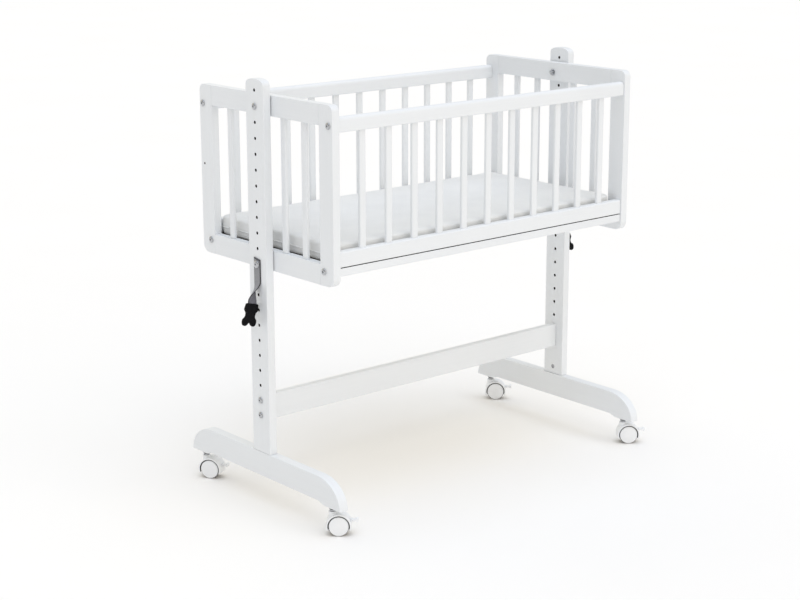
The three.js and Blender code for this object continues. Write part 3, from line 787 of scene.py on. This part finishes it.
def pivot_nut(side):
    """A hexagon nut on a plain washer, inside the end panel, with the bolt passing through it."""
    node = f"pivot_nut_{side}"
    place, washer_radius, length = fastener(node)
    washer = 1.5 * MM
    corner = washer_radius - 2 * MM
    hole = BOLT_RADIUS + 0.3 * MM
    profile = [(hole, 0), (washer_radius - 0.3 * MM, 0), (washer_radius, -0.3 * MM)]
    profile += [(washer_radius, -washer + 0.3 * MM), (washer_radius - 0.3 * MM, -washer)]
    profile += [(hexagon(corner * 0.96), -washer), (hexagon(corner), -washer - 0.4 * MM)]
    profile += [(hexagon(corner), -length + 0.7 * MM), (corner * 0.84, -length), (hole, -length)]
    bm = bmesh.new()
    add_turned(bm, profile, 48, place, closed=True)
    finished(f"{node}_hexagon", bm, ZINC, [node], sharp=30)


# ---- Mattress ----

MATTRESS_SLACK = 1.5 * MM  # how much smaller the pad starts than the space it fills
MATTRESS_TRAVEL = 3 * MM  # how far the padding may move a point of the cover
MATTRESS_PRESSURE = 4.0
MATTRESS_CORNER = 14 * MM
MATTRESS_EASING = 5 * MM
MATTRESS_VOXEL = 5 * MM
PIPING_RADIUS = 1.5 * MM
PIPING_HEIGHT = 0.43  # of the mattress's height
PIPING_POINTS = 460  # along the whole piping
PIPING_SIDES = 8


def puffed(piece, pressure, travel, frames=20):
    """Inflates a pad with the cloth solver, and keeps each point within its travel."""
    cloth = piece.modifiers.new("cloth", "CLOTH")
    settings = cloth.settings
    settings.quality = 5
    settings.use_pressure = True
    settings.uniform_pressure_force = pressure
    settings.effector_weights.gravity = 0
    scene = bpy.context.scene
    cloth.point_cache.frame_start = 1
    cloth.point_cache.frame_end = frames
    for number in range(1, frames + 1):
        scene.frame_set(number)
    evaluated = piece.evaluated_get(bpy.context.evaluated_depsgraph_get())
    moved = [v.co.copy() for v in evaluated.data.vertices]
    piece.modifiers.remove(cloth)
    scene.frame_set(1)
    for vertex, target in zip(piece.data.vertices, moved):
        step = target - vertex.co
        vertex.co += step * min(1.0, travel / max(step.length, 1e-9))


def applied(piece):
    """Replaces a piece's mesh by what its modifiers make of it."""
    evaluated = piece.evaluated_get(bpy.context.evaluated_depsgraph_get())
    mesh = bpy.data.meshes.new_from_object(evaluated)
    piece.modifiers.clear()
    piece.data = mesh


def mattress():
    """A padded mattress: a rounded slab, inflated and smoothed, with piping round it."""
    low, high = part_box("mattress")
    slack = Vector((1, 1, 0)) * MATTRESS_SLACK
    floor = low + slack + Vector((0, 0, MATTRESS_SLACK / 2))
    top = high - slack - Vector((0, 0, MATTRESS_SLACK))
    outline = rectangle(floor.x, floor.y, top.x, top.y, MATTRESS_CORNER, MATTRESS_CORNER, 10)
    bm = bmesh.new()
    add_board(bm, "z", (floor.z, top.z), outline, easing=MATTRESS_EASING)
    pad = finished("mattress_pad", bm, COTTON, ["mattress"])
    pad.modifiers.clear()
    remesh = pad.modifiers.new("remesh", "REMESH")
    remesh.mode = "VOXEL"
    remesh.voxel_size = MATTRESS_VOXEL
    bpy.context.view_layer.update()
    applied(pad)
    puffed(pad, MATTRESS_PRESSURE, MATTRESS_TRAVEL)
    for vertex in pad.data.vertices:
        vertex.co.z = max(vertex.co.z, low.z)
    smooth = pad.modifiers.new("smooth", "SUBSURF")
    smooth.levels = smooth.render_levels = 1
    bpy.context.view_layer.update()
    applied(pad)
    pad.data.shade_smooth()
    piping(pad, low, high)


def piping(pad, low, high):
    """A cord of the cover's own cloth sewn round the pad's sides."""
    tree = BVHTree.FromPolygons([v.co for v in pad.data.vertices], [p.vertices for p in pad.data.polygons])
    height = low.z + PIPING_HEIGHT * (high.z - low.z)
    outline = rectangle(low.x, low.y, high.x, high.y, MATTRESS_CORNER, MATTRESS_CORNER, 10)
    route = []
    lengths = [(outline[(i + 1) % len(outline)] - p).length for i, p in enumerate(outline)]
    step = sum(lengths) / PIPING_POINTS
    walked = 0.0
    index = 0
    for i in range(PIPING_POINTS):
        while i * step > walked + lengths[index]:
            walked += lengths[index]
            index += 1
        part = (i * step - walked) / lengths[index]
        point = outline[index].lerp(outline[(index + 1) % len(outline)], part)
        near, normal, _, _ = tree.find_nearest(Vector((point.x, point.y, height)))
        out = Vector((normal.x, normal.y, 0)).normalized()
        route.append(near + out * PIPING_RADIUS * 0.35)
    turns = [k / PIPING_SIDES * math.tau for k in range(PIPING_SIDES)]
    rings = []
    for i, point in enumerate(route):
        along = (route[(i + 1) % PIPING_POINTS] - route[i - 1]).normalized()
        side = along.cross(Vector((0, 0, 1))).normalized()
        up = side.cross(along)
        rings.append([point + PIPING_RADIUS * (side * math.cos(t) + up * math.sin(t)) for t in turns])
    bm = bmesh.new()
    add_rings(bm, rings, close=True)
    finished("mattress_piping", bm, COTTON, ["mattress"], sharp=180)


# ---- Straps and buckles ----

BUCKLE_EASING = 1.7 * MM
BUCKLE_THICKNESS = 6 * MM
BUCKLE_STAND = 16 * MM  # from the post's face to the buckle's middle
BUCKLE_DROP = 3.5 * MM  # from the strap's nominal end to the buckle's top
BUCKLE_LAP = 5 * MM  # how far the strap goes on inside the buckle
BUCKLE_RIB = {"x": 11.5, "half_width": 3.2, "half_height": 0.7, "rise": 0.5}  # in millimetres
BUCKLE_RIB_HEIGHTS = (-34, -37.5, -41)
BUCKLE_HALF = [
    (0, 0),
    (11, 0),
    (14.5, -1.5),
    (16, -8),
    (16.4, -14),
    (12.5, -19),
    (11.3, -25),
    (13, -29.5),
    (16.5, -33.5),
    (17, -40),
    (14, -46),
    (8, -46.5),
    (3.5, -43),
    (2, -40.5),
    (0, -40),
]  # right half of a buckle, in millimetres down from the middle of its top
HANGS = {
    "left": {"twist_top": 482, "end": 441, "y": 0, "lean": 14},
    "right": {"twist_top": 495, "end": 454, "y": 3, "lean": 19},
}  # heights where each strap starts to turn and ends, its buckle's y, and its lean outwards in degrees


def smoothstep(value, start, end):
    """How far value has come from start to end, easing in and out."""
    t = min(1.0, max(0.0, (value - start) / (end - start)))
    return t * t * (3 - 2 * t)


def strap(side, sign):
    """Webbing bolted flat to the post's outer face, turning until it hangs edge on to the post."""
    node = f"strap_{side}"
    hang = HANGS[side]
    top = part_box(node)[1].z
    face = post_face(side, sign)
    bottom = hang["end"] * MM - BUCKLE_DROP - BUCKLE_LAP
    flat = STRAP_THICKNESS / 2 + 0.3 * MM
    rings = []
    for step in range(STRAP_STEPS + 1):
        z = top + (bottom - top) * step / STRAP_STEPS
        share = smoothstep(z, hang["twist_top"] * MM, hang["end"] * MM)
        turn = QUARTER * share
        out = flat + (BUCKLE_STAND - flat) * math.sin(turn)
        centre = Vector((face + sign * out, hang["y"] * MM * share, z))
        curl = STRAP_CURL * math.sin(share * math.pi) + 0.02
        wide = Vector((-sign * math.sin(turn), math.cos(turn), 0))
        deep = Vector((0, 0, 1)).cross(wide)
        slant = Vector((0, 0, STRAP_SLANT * max(0.0, 1 - step / STRAP_SLANT_STEPS)))
        radius = STRAP_WIDTH / curl
        ring = []
        for face_side in (1, -1):
            # The back's UVs sit a metre lower, where the webbing paints it darker as painted shade.
            is_shaded_back = face_side == sign
            for column in range(STRAP_COLUMNS + 1):
                across = (column / STRAP_COLUMNS - 0.5) * face_side
                beside = max(0.0, abs(across) - 0.5 + STRAP_SELVEDGE) / STRAP_SELVEDGE
                reach = radius + face_side * STRAP_THICKNESS / 2 * (1 - STRAP_THINNING * beside)
                bow = deep * (reach * math.cos(across * curl) - radius * math.cos(curl / 4))
                point = centre + slant * across + wide * (reach * math.sin(across * curl)) + bow
                ring.append((point, across * STRAP_WIDTH, z - top - is_shaded_back))
        rings.append(ring)
    bm = bmesh.new()
    uv_layer = bm.loops.layers.uv.new("UVMap")
    rows = add_rings(bm, [[point for point, _, _ in ring] for ring in rings])
    for row in (rows[0], rows[-1]):
        bm.faces.new(row)
    places = {v: (u, w) for row, ring in zip(rows, rings) for v, (_, u, w) in zip(row, ring)}
    for polygon in bm.faces:
        for loop in polygon.loops:
            loop[uv_layer].uv = places[loop.vert]
    finished(f"{node}_webbing", bm, WEBBING, [node], sharp=60)


def post_face(side, sign):
    """The x of a post's outer face."""
    low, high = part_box(f"post_{side}")
    return high.x if sign > 0 else low.x


def closed_curve(points, steps=5):
    """A smooth closed line through points."""
    line = []
    count = len(points)
    for i in range(count):
        before, start, end, after = (points[(i + k - 1) % count] for k in range(4))
        near = start + (end - before) / 6
        far = end - (after - start) / 6
        line += interpolate_bezier(start, near, far, end, steps + 1)[:-1]
    return line


def buckle(side, sign):
    """The prong half of a side-release buckle, hung by its top and edge on to the post."""
    node = f"buckle_{side}"
    hang = HANGS[side]
    half = BUCKLE_THICKNESS / 2
    right = [Vector((a * MM, b * MM)) for a, b in BUCKLE_HALF]
    left = [Vector((-p.x, p.y)) for p in reversed(right[1:-1])]
    outline = closed_curve(right + left)
    if area(outline) < 0:
        outline.reverse()
    bm = bmesh.new()
    add_board(bm, "y", (-half, half), outline, easing=BUCKLE_EASING)
    wide, tall = BUCKLE_RIB["half_width"], BUCKLE_RIB["half_height"]
    proud = half + BUCKLE_RIB["rise"] * MM
    for height in BUCKLE_RIB_HEIGHTS:
        for centre in (-BUCKLE_RIB["x"], BUCKLE_RIB["x"]):
            edges = [edge * MM for edge in (centre - wide, height - tall, centre + wide, height + tall)]
            rib = rectangle(*edges, 0.6 * MM, 0.6 * MM, 4)
            add_board(bm, "y", (-proud, proud), rib, easing=0.5 * MM)
    lean = Matrix.Rotation(math.radians(-sign * hang["lean"]), 4, "Y")
    across = post_face(side, sign) + sign * BUCKLE_STAND
    top = Vector((across, hang["y"] * MM, hang["end"] * MM - BUCKLE_DROP))
    bmesh.ops.transform(bm, matrix=Matrix.Translation(top) @ lean, verts=bm.verts)
    finished(f"{node}_prongs", bm, ACETAL, [node])


# ---- Casters ----

HOOD_INNER = 22.3 * MM
HOOD_OUTER = 25.2 * MM
HOOD_HALF_WIDTH = 15.6 * MM
HOOD_LAP = 0.4 * MM  # how far the web and the neck go into the hood's wall
HOOD_SPAN = (-20, 200)  # degrees round the axle
WEB_SPAN = (-25, 205)
WEB_HALF_WIDTH = 4.2 * MM
NECK_RADIUS = 8.5 * MM
NECK_FILLET = 2 * MM
NECK_TOP = 50 * MM
STEM_RADIUS = 4 * MM
COLLAR_RADIUS = 6.5 * MM
DISC_RADIUS = 19.7 * MM
DISC_RISE = 1.2 * MM
WHEEL_INNER = 5 * MM  # from the middle of the caster to a wheel's inner and outer faces
WHEEL_OUTER = 15 * MM
TREAD_OUTER = 13.6 * MM  # the tread sits back from the disc's face
TREAD_SHOULDER = 0.8 * MM
AXLE_RADIUS = 3 * MM
LEVER_HALF_WIDTH = 6 * MM
LEVER_LENGTH = 13 * MM
LEVER_THICKNESS = 3 * MM
LEVER_TOE = 7 * MM  # thickness of the pad at its end
LEVER_TOE_START = 9 * MM


def caster_layout(name):
    """A caster's own frame: at its stem, trailing along +X, with its axle along Y; and its axle's place."""
    pivots = {joint["name"]: Vector(joint["pos_m"]) for joint in frame["joints"]}
    stem = pivots[f"caster_swivel_{name}"]
    axle = pivots[f"wheel_spin_{name}"]
    lever = pivots[f"brake_lever_{name}"]
    trail = Vector((axle.x - stem.x, axle.y - stem.y, 0))
    turn = Matrix.Rotation(math.atan2(trail.y, trail.x), 4, "Z")
    place = Matrix.Translation((stem.x, stem.y, 0)) @ turn
    return place, Vector((trail.length, 0, axle.z)), place.inverted() @ lever


def polar(centre, radius, degrees):
    """The (x, z) of a point round an axle."""
    t = math.radians(degrees)
    return Vector((centre.x + radius * math.cos(t), centre.z + radius * math.sin(t)))


def caster_housing(name, place, axle):
    """A hood over both wheels, the web between them, and the neck that holds the stem; the hood's inner faces and
    the web are near-black painted shade.
    """

    def curve(radius, span):
        steps = 40
        angles = [span[0] + (span[1] - span[0]) * i / steps for i in range(steps + 1)]
        return [polar(axle, radius, angle) for angle in angles]

    bm = bmesh.new()
    outer = curve(HOOD_OUTER, HOOD_SPAN)
    inner = curve(HOOD_INNER, HOOD_SPAN)[::-1]
    add_board(bm, "y", (-HOOD_HALF_WIDTH, HOOD_HALF_WIDTH), outer + inner, easing=0.75 * MM)
    bm.normal_update()
    # The hood's inner faces take near-black painted shade.
    for face in bm.faces:
        centre = face.calc_center_median()
        is_shaded_inside = math.hypot(centre.x - axle.x, centre.z - axle.z) < HOOD_INNER + 0.1 * MM
        face.material_index = int(is_shaded_inside and abs(face.normal.y) < 0.5)
    shell = set(bm.faces)
    web = curve(HOOD_INNER + HOOD_LAP, WEB_SPAN)
    add_board(bm, "y", (-WEB_HALF_WIDTH, WEB_HALF_WIDTH), web, easing=0.5 * MM)
    # The whole web takes near-black painted shade.
    for face in set(bm.faces) - shell:
        face.material_index = 1

    def on_hood(point, lift):
        run = min(abs(point.x - axle.x), HOOD_OUTER - 1.5 * HOOD_LAP)
        return axle.z + math.sqrt((HOOD_OUTER - HOOD_LAP) ** 2 - run**2) + lift

    turns = [i / 48 * math.tau for i in range(48)]
    rings = []
    for i in range(7):
        t = i / 6 * QUARTER
        radius = NECK_RADIUS + NECK_FILLET * (1 - math.sin(t))
        lift = NECK_FILLET * (1 - math.cos(t))
        ring = [Vector((radius * math.cos(a), radius * math.sin(a), 0)) for a in turns]
        rings.append([Vector((p.x, p.y, on_hood(p, lift))) for p in ring])
    for radius, height in arc((NECK_RADIUS - 1.5 * MM, NECK_TOP - 1.5 * MM), 1.5 * MM, 0, 90, 5):
        rings.append([Vector((radius * math.cos(a), radius * math.sin(a), height)) for a in turns])
    rows = add_rings(bm, rings)
    bm.faces.new(rows[0])
    bm.faces.new(rows[-1])
    bmesh.ops.transform(bm, matrix=place, verts=bm.verts)
    finished(f"caster_hood_{name}", bm, NYLON, [f"caster_housing_{name}"], 50, PAINTED_SHADE_PLASTIC)


def caster_stem(name, place):
    """The steel stem, with a collar over the neck and a plate under the foot."""
    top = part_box(f"caster_housing_{name}")[1].z
    foot_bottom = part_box(f"foot_{name.split('_')[1]}")[0].z
    foot_face = foot_bottom - 0.3 * MM
    plate_radius = COLLAR_RADIUS + 1.5 * MM
    sleeve_radius = STEM_RADIUS + 0.6 * MM
    above_neck = [
        (STEM_RADIUS, -2 * MM),
        (STEM_RADIUS, 0.6 * MM),
        (COLLAR_RADIUS - 0.6 * MM, 0.6 * MM),
        (COLLAR_RADIUS, 1.2 * MM),
        (COLLAR_RADIUS, 3.2 * MM),
        (COLLAR_RADIUS - 0.7 * MM, 3.9 * MM),
        (sleeve_radius, 4.2 * MM),
        (sleeve_radius, 5.6 * MM),
        (plate_radius, 5.8 * MM),
    ]
    profile = [(radius, NECK_TOP + height) for radius, height in above_neck]
    profile += [(plate_radius, foot_face), (STEM_RADIUS, foot_face)]
    profile += [(STEM_RADIUS, top - 1 * MM), (STEM_RADIUS - 1 * MM, top)]
    bm = bmesh.new()
    add_turned(bm, profile, 36, place)
    finished(f"caster_stem_{name}", bm, ZINC, [f"caster_housing_{name}"], sharp=35)


def caster_wheels(name, place, axle):
    """Two treaded wheels with domed discs, on one axle."""
    node = f"caster_wheels_{name}"
    tyre, disc = bmesh.new(), bmesh.new()
    for sign in (-1, 1):
        spin = Matrix.Translation(axle) @ Matrix.Rotation(QUARTER * -sign, 4, "X")
        radius = axle.z
        shoulder = radius - TREAD_SHOULDER
        tread = [(DISC_RADIUS - 2 * MM, WHEEL_INNER), (shoulder, WHEEL_INNER)]
        tread += arc((shoulder, WHEEL_INNER + TREAD_SHOULDER), TREAD_SHOULDER, -60, 0, 4)
        groove = (WHEEL_INNER + WHEEL_OUTER) / 2
        tread += [(radius, groove - 0.5 * MM), (radius - 0.35 * MM, groove), (radius, groove + 0.5 * MM)]
        tread += arc((shoulder, TREAD_OUTER - TREAD_SHOULDER), TREAD_SHOULDER, 0, 90, 5)
        tread.append((DISC_RADIUS + 0.1 * MM, TREAD_OUTER - 0.4 * MM))
        tread.append((DISC_RADIUS - 2 * MM, TREAD_OUTER - 1 * MM))
        add_turned(tyre, tread, 64, place @ spin, closed=True)
        face = [(AXLE_RADIUS, 0), (AXLE_RADIUS, WHEEL_INNER - 0.4 * MM), (7 * MM, WHEEL_INNER - 0.4 * MM)]
        face += [(7 * MM, WHEEL_INNER + 0.6 * MM), (DISC_RADIUS - 1 * MM, WHEEL_INNER + 0.6 * MM)]
        face += [(DISC_RADIUS, WHEEL_INNER + 1.6 * MM), (DISC_RADIUS, WHEEL_OUTER - 0.7 * MM)]
        face += arc((DISC_RADIUS - 0.7 * MM, WHEEL_OUTER - 0.7 * MM), 0.7 * MM, 0, 80, 4)
        dome = [(DISC_RADIUS - 2.4 * MM) * (1 - i / 8) for i in range(8)]
        face += [(r, WHEEL_OUTER - 0.25 * MM + DISC_RISE * (1 - (r / DISC_RADIUS) ** 2)) for r in dome]
        add_turned(disc, face, 64, place @ spin)
    finished(f"caster_tyres_{name}", tyre, RUBBER, [node], sharp=50)
    finished(f"caster_discs_{name}", disc, NYLON, [node], sharp=35)


def caster_brake(name, place, pivot):
    """The tab that is pressed down to brake the wheels, with a thick pad for the toe."""
    half = LEVER_HALF_WIDTH
    thin, thick = LEVER_THICKNESS / 2, LEVER_TOE / 2
    side = rounded([
        (0, -thin, 0),
        (LEVER_TOE_START - 2 * MM, -thin, 1 * MM),
        (LEVER_TOE_START, -thick, 1 * MM),
        (LEVER_LENGTH, -thick, 2 * MM),
        (LEVER_LENGTH, thick, 2 * MM),
        (LEVER_TOE_START, thick, 1 * MM),
        (LEVER_TOE_START - 2 * MM, thin, 1 * MM),
        (0, thin, 0),
    ])
    bm = bmesh.new()
    add_board(bm, "y", (-half, half), side, easing=0.8 * MM)
    rim = half - 0.8 * MM
    barrel = [(1.6 * MM, -half), (2.4 * MM, -rim), (2.4 * MM, rim), (1.6 * MM, half)]
    add_turned(bm, barrel, 24, Matrix.Rotation(QUARTER, 4, "X"))
    bmesh.ops.transform(bm, matrix=place @ Matrix.Translation(pivot), verts=bm.verts)
    finished(f"caster_pedal_{name}", bm, NYLON, [f"caster_brake_{name}"], sharp=50)


# ---- Camera, lights and floor ----


EYE_PLACE = (-2.43343, -2.77042, 1.32166)
EYE_YAW = 0.71498  # in radians, from +Y towards +X
EYE_PITCH = 0.24462  # in radians, downwards
EYE_LENS = 77.887  # in millimetres, on a sensor 36 mm wide
EYE_SHIFT = (-0.01395, -0.01831)


def camera():
    """A camera a little above the crib, off its front left corner."""
    data = bpy.data.cameras.new("camera")
    data.lens = EYE_LENS
    data.sensor_width = 36
    data.shift_x, data.shift_y = EYE_SHIFT
    data.clip_end = 100
    eye = bpy.data.objects.new("camera", data)
    eye.location = EYE_PLACE
    eye.rotation_euler = (QUARTER - EYE_PITCH, 0, -EYE_YAW)
    bpy.context.scene.collection.objects.link(eye)
    bpy.context.scene.camera = eye


SKY = {"color": (1.0, 0.992, 0.978), "strength": 0.598}
# A light's spread is its width in the sky, and its tilt is how far it leans from overhead towards the
# front and the right, all in degrees.
SOFT_LIGHTS = [
    {"name": "overhead", "energy": 1.372, "spread": 70, "tilt": (12, -3), "color": (0.684, 0.795, 1.0)},
    {"name": "front_fill", "energy": 0.804, "spread": 80, "tilt": (65, 0), "color": (1.0, 0.875, 0.679)},
    {"name": "rear_fill", "energy": 0.542, "spread": 80, "tilt": (-65, 0), "color": (1.0, 0.878, 0.551)},
]


def studio():
    """A pale floor under a soft sky and broad soft lights."""
    scene = bpy.context.scene
    scene.view_settings.view_transform = "Standard"
    world = bpy.data.worlds.new("studio")
    world.use_nodes = True
    background = world.node_tree.nodes["Background"]
    background.inputs["Color"].default_value = (*SKY["color"], 1)
    background.inputs["Strength"].default_value = SKY["strength"]
    scene.world = world
    for light in SOFT_LIGHTS:
        data = bpy.data.lights.new(light["name"], "SUN")
        data.energy = light["energy"]
        data.angle = math.radians(light["spread"])
        data.color = light["color"]
        sun = bpy.data.objects.new(light["name"], data)
        sun.rotation_euler = [math.radians(angle) for angle in (*light["tilt"], 0)]
        scene.collection.objects.link(sun)
    bm = bmesh.new()
    bmesh.ops.create_grid(bm, x_segments=8, y_segments=8, size=40)
    mesh = bpy.data.meshes.new("floor")
    bm.to_mesh(mesh)
    bm.free()
    mesh.materials.append(floor_paint())
    floor = bpy.data.objects.new("floor", mesh)
    scene.collection.objects.link(floor)


# ---- The object ----

camera()
studio()

for side, sign in SIDES.items():
    post(side, sign)
    foot(side)
    strap(side, sign)
    buckle(side, sign)
    pivot_nut(side)
    for edge, edge_sign in EDGES.items():
        stile(side, edge, edge_sign)
    for which in ("top", "bottom"):
        end_rail(side, which)
    for number in (1, 2, 3, 4):
        end_slat(side, number)
stretcher()
for edge in EDGES:
    side_frame(edge)
base_board()
for node in sorted(frame["nodes"]):
    if "_bolt_" in node:
        bolt(node)
mattress()

for name in ("front_left", "rear_left", "front_right", "rear_right"):
    place, axle, pivot = caster_layout(name)
    caster_housing(name, place, axle)
    caster_stem(name, place)
    caster_wheels(name, place, axle)
    caster_brake(name, place, pivot)
